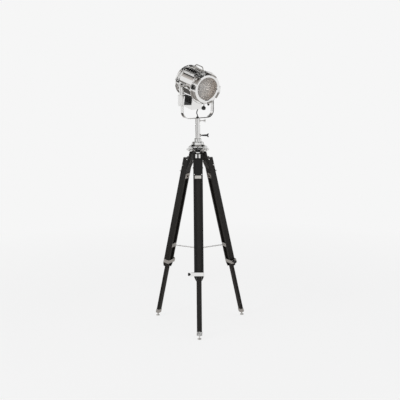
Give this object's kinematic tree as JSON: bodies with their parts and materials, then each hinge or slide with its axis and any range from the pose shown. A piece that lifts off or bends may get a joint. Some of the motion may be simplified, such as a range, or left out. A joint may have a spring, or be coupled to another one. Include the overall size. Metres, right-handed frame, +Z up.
{
  "type": "tripod spotlight floor lamp",
  "caption": "Spotlight head with a stepped lens in a U-shaped fork, on a wooden tripod with clamped sliding lower legs, fold-in leg hinges and a spreader chain",
  "frame": {"origin": "centre of the bounding box's footprint on the floor, under the tripod", "axes": "Z up; X to the right in the picture; Y away from the camera; the front leg points along -Y"},
  "size_m": [0.583, 0.5103, 1.6497],
  "materials": {
    "black_wood": "satin black stain, grain just visible",
    "chrome": "polished nickel-chrome plate",
    "black_plastic": "moulded black knob",
    "black_rubber": "dull rubber sleeve",
    "black_enamel": "semi-gloss black paint",
    "clear_glass": "clear pressed glass",
    "cream_ceramic": "glazed ceramic, cream",
    "polished_aluminium": "polished, bright"
  },
  "bodies": {
    "stand": {"hub_casting": "chrome", "receiver_tube": "chrome", "hinge_bolts": "chrome"},
    "post": {"post": "chrome"},
    "receiver_knob": {"receiver_knob": "black_plastic"},
    "fork": {"fork": "chrome", "fork_socket": "chrome", "lead_grommet": "black_rubber", "lamp_lead": "black_rubber"},
    "pan_screw": {"pan_screw": "chrome"},
    "head": {"drum": "chrome", "rear_cap": "chrome", "front_flange": "chrome", "top_vent": "chrome", "handle": "chrome", "louvre_box": "black_enamel", "tray": "chrome", "tilt_studs": "chrome", "door_hinge_pin": "chrome"},
    "tilt_lever": {"tilt_lever": "chrome"},
    "carriage": {"lamp_carriage": "chrome", "lampholder": "cream_ceramic", "bulb": "clear_glass", "reflector": "polished_aluminium"},
    "focus_knob": {"focus_knob": "black_plastic"},
    "door": {"lens_door": "chrome", "filter_clips": "black_enamel", "lens": "clear_glass", "lens_ring": "chrome"},
    "door_catch": {"door_catch": "black_plastic"},
    "leg_front": {"rails_front": "black_wood", "leg_head_front": "black_wood", "clamp_band_front": "chrome", "leg_fittings_front": "chrome", "chain_front": "chrome"},
    "lower_front": {"lower_leg_front": "black_wood", "guide_front": "chrome", "foot_front": "chrome"},
    "clamp_knob_front": {"clamp_knob_front": "black_plastic"},
    "wing_nut_front": {"wing_nut_front": "chrome"},
    "leg_left": {"rails_left": "black_wood", "leg_head_left": "black_wood", "clamp_band_left": "chrome", "leg_fittings_left": "chrome", "chain_left": "chrome"},
    "lower_left": {"lower_leg_left": "black_wood", "guide_left": "chrome", "foot_left": "chrome"},
    "clamp_knob_left": {"clamp_knob_left": "black_plastic"},
    "wing_nut_left": {"wing_nut_left": "chrome"},
    "leg_right": {"rails_right": "black_wood", "leg_head_right": "black_wood", "clamp_band_right": "chrome", "leg_fittings_right": "chrome", "chain_right": "chrome"},
    "lower_right": {"lower_leg_right": "black_wood", "guide_right": "chrome", "foot_right": "chrome"},
    "clamp_knob_right": {"clamp_knob_right": "black_plastic"},
    "wing_nut_right": {"wing_nut_right": "chrome"}
  },
  "joints": [
    {"name": "post_height", "type": "slide", "parent": "stand", "child": "post", "axis": [0, 0, 1], "range_m": [-0.007, 0.09]},
    {"name": "receiver_knob_turn", "type": "hinge", "parent": "stand", "child": "receiver_knob", "pos_m": [0, 0.08002, 1.213], "axis": [1, 0, 0], "range_deg": [0, 540]},
    {"name": "pan", "type": "hinge", "parent": "post", "child": "fork", "pos_m": [0, 0.08002, 1.319], "axis": [0, 0, 1], "range_deg": [-170, 170]},
    {"name": "pan_screw_turn", "type": "hinge", "parent": "fork", "child": "pan_screw", "pos_m": [0, 0.08002, 1.304], "axis": [1, 0, 0], "range_deg": [0, 540]},
    {"name": "tilt", "type": "hinge", "parent": "fork", "child": "head", "pos_m": [0, 0.08002, 1.526], "axis": [0.8415, 0.5402, 0], "range_deg": [-60, 42], "deforming": ["lamp_lead"]},
    {"name": "tilt_lever_turn", "type": "hinge", "parent": "fork", "child": "tilt_lever", "pos_m": [0, 0.08002, 1.526], "axis": [0.8415, 0.5402, 0], "range_deg": [-30, 30]},
    {"name": "focus_slide", "type": "slide", "parent": "head", "child": "carriage", "axis": [0.5298, -0.8252, -0.1959], "range_m": [-0.014, 0.014]},
    {"name": "focus_knob_turn", "type": "hinge", "parent": "carriage", "child": "focus_knob", "pos_m": [0.02543, 0.04041, 1.51659], "axis": [-0.3154, -0.4061, 0.8577], "range_deg": [0, 540]},
    {"name": "door_swing", "type": "hinge", "parent": "head", "child": "door", "pos_m": [0.13767, 0.06178, 1.50807], "axis": [0.1059, -0.1649, 0.9806], "range_deg": [0, 110]},
    {"name": "catch_pull", "type": "slide", "parent": "head", "child": "door_catch", "axis": [-0.1059, 0.1649, -0.9806], "range_m": [0, 0.007], "stiffness_N_per_m": 400, "springref_m": -0.004},
    {"name": "leg_fold_front", "type": "hinge", "parent": "stand", "child": "leg_front", "pos_m": [0, 0.04302, 1.126], "axis": [1, 0, 0], "range_deg": [0, 13], "deforming": ["chain_front"]},
    {"name": "leg_extend_front", "type": "slide", "parent": "leg_front", "child": "lower_front", "axis": [0, -0.2284, -0.9736], "range_m": [-0.0015, 0.43]},
    {"name": "clamp_knob_turn_front", "type": "hinge", "parent": "leg_front", "child": "clamp_knob_front", "pos_m": [0, -0.15121, 0.38682], "axis": [1, 0, 0], "range_deg": [0, 540]},
    {"name": "wing_nut_turn_front", "type": "hinge", "parent": "stand", "child": "wing_nut_front", "pos_m": [0, 0.04302, 1.126], "axis": [1, 0, 0], "range_deg": [0, 540]},
    {"name": "leg_fold_left", "type": "hinge", "parent": "stand", "child": "leg_left", "pos_m": [-0.03204, 0.09852, 1.126], "axis": [-0.5, -0.866, 0], "range_deg": [0, 13], "deforming": ["chain_left"]},
    {"name": "leg_extend_left", "type": "slide", "parent": "leg_left", "child": "lower_left", "axis": [-0.1978, 0.1142, -0.9736], "range_m": [-0.0015, 0.43]},
    {"name": "clamp_knob_turn_left", "type": "hinge", "parent": "leg_left", "child": "clamp_knob_left", "pos_m": [-0.20025, 0.19563, 0.38682], "axis": [-0.5, -0.866, 0], "range_deg": [0, 540]},
    {"name": "wing_nut_turn_left", "type": "hinge", "parent": "stand", "child": "wing_nut_left", "pos_m": [-0.03204, 0.09852, 1.126], "axis": [-0.5, -0.866, 0], "range_deg": [0, 540]},
    {"name": "leg_fold_right", "type": "hinge", "parent": "stand", "child": "leg_right", "pos_m": [0.03204, 0.09852, 1.126], "axis": [-0.5, 0.866, 0], "range_deg": [0, 13], "deforming": ["chain_right"]},
    {"name": "leg_extend_right", "type": "slide", "parent": "leg_right", "child": "lower_right", "axis": [0.1978, 0.1142, -0.9736], "range_m": [-0.0015, 0.43]},
    {"name": "clamp_knob_turn_right", "type": "hinge", "parent": "leg_right", "child": "clamp_knob_right", "pos_m": [0.20025, 0.19563, 0.38682], "axis": [-0.5, 0.866, 0], "range_deg": [0, 540]},
    {"name": "wing_nut_turn_right", "type": "hinge", "parent": "stand", "child": "wing_nut_right", "pos_m": [0.03204, 0.09852, 1.126], "axis": [-0.5, 0.866, 0], "range_deg": [0, 540]}
  ]
}
